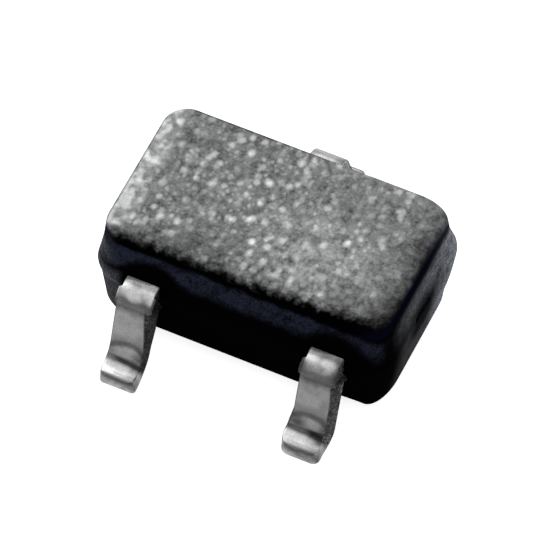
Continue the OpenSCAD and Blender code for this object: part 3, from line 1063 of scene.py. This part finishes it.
innerGrain = {"detail": 4, "edge": (0.3, 0.7), "roughness": 0.2, "relief": 0.0006}


def innerFinish(name, c, g=innerGrain):
    f = Finish(name)
    fine = f.grain(f.place(), c["scale"], g["detail"])
    shader = f.node("BsdfPrincipled", None, {
        "Base Color": f.mixColour(fine.rise(*g["edge"]), c["dark"], c["light"]),
        "Metallic": c["metallic"],
        "Roughness": fine * g["roughness"] + c["roughness"],
        "Normal": f.bump(fine, g["relief"])}).out()
    return f.close(shader)


points, faces = buildBody()
makePiece("mouldedBody", points, faces, mouldingCompound(), "epoxy_body")
print("moulded body built:", len(faces), "faces")

tinned = tinPlate()
evenWear = ((0.078, 0.19), (0.3, 1))
waisted = ((0, 0.14, 0.3, 0.45), (0.45, 0.15, 0.45, 1))
leads = {
    "ioLead1": {"node": "lead_io_1", "plate": post, "stubbed": True, "turned": -1,
                "across": -strip["pitch"] / 2, "burr": 0.022, "wearAndShade": waisted, "bulge": 0.010,
                "toeRadius": 0.03},
    "ioLead2": {"node": "lead_io_2", "plate": post, "stubbed": True, "turned": -1,
                "across": strip["pitch"] / 2, "burr": 0.030, "wearAndShade": evenWear, "bulge": 0.030,
                "toeRadius": 0.05},
    "commonLead": {"node": "lead_common", "plate": paddle, "stubbed": False, "turned": 1,
                   "across": 0.0, "burr": 0.020, "wearAndShade": evenWear, "bulge": 0.010,
                   "toeRadius": 0.03},
}
for name, made in leads.items():
    node = made.pop("node")
    points, faces, along, cut = buildLead(**made)
    lead = makePiece(name, points, faces, tinned, node)
    addMarks(lead, along=along, cut=cut)
print("leads built")

for name, recipe in inner.items():
    material = innerFinish(name, recipe)
    for node in recipe["nodes"]:
        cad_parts[node].data.materials.clear()
        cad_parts[node].data.materials.append(material)
print("inner pieces finished")

# A white floor, soft lamps and an even pale surround
studio = {
    "floorSize": 400,
    "floorColour": (0.9, 0.9, 0.9, 1),
    "floorGlow": 0.78,
    "skyGlow": 0.6,
    "lamps": {
        "overhead": {"at": (-25, 30, 40), "size": 45, "power": 0.0125},
        "left": {"at": (-40, -5, 25), "size": 35, "power": 0.005},
    },
}


# 1 where the camera, a reflection or a view through glass shows the background
def shownRay(f):
    rays = f.node("LightPath")
    shown = rays.out("Is Camera Ray").atLeast(rays.out("Is Glossy Ray"))
    return shown.atLeast(rays.out("Is Transmission Ray"))


def buildStudio(s=studio):
    size = s["floorSize"] / 2 * mm
    mesh = bpy.data.meshes.new("whiteFloor")
    corners = [(x * size, y * size, 0) for x, y in ((-1, -1), (1, -1), (1, 1), (-1, 1))]
    mesh.from_pydata(corners, [], [(0, 1, 2, 3)])
    floor = bpy.data.objects.new("whiteFloor", mesh)
    scene.collection.objects.link(floor)
    f = Finish("whiteFloor")
    matt = f.node("BsdfDiffuse", None, {"Color": s["floorColour"]}).out()
    glow = f.node("Emission", None, {"Color": (1, 1, 1, 1), "Strength": s["floorGlow"]}).out()
    both = f.node("AddShader", None, {0: matt, 1: glow}).out()
    shader = f.node("MixShader", None, {0: shownRay(f), 1: matt, 2: both}).out()
    mesh.materials.append(f.close(shader))

    world = bpy.data.worlds.new("paleSurround")
    world.use_nodes = True
    scene.world = world
    w = Finish("paleSurround", world.node_tree)
    strength = shownRay(w) * (1 - s["skyGlow"]) + s["skyGlow"]
    sky = w.node("Background", None, {"Color": (1, 1, 1, 1), "Strength": strength}).out()
    w.tree.links.new(sky.socket, w.node("OutputWorld").node.inputs[0])

    for name, lamp in s["lamps"].items():
        lampData = bpy.data.lights.new(name, "AREA")
        lampData.size = lamp["size"] * mm
        lampData.energy = lamp["power"]
        made = bpy.data.objects.new(name, lampData)
        made.location = [c * mm for c in lamp["at"]]
        alongX, alongY, alongZ = -np.array(lamp["at"], float)
        tilt = math.atan2(math.hypot(alongX, alongY), -alongZ)
        made.rotation_euler = (tilt, 0, math.atan2(-alongX, alongY))
        scene.collection.objects.link(made)


buildStudio()
scene.view_settings.view_transform = "Standard"
print("studio lit")
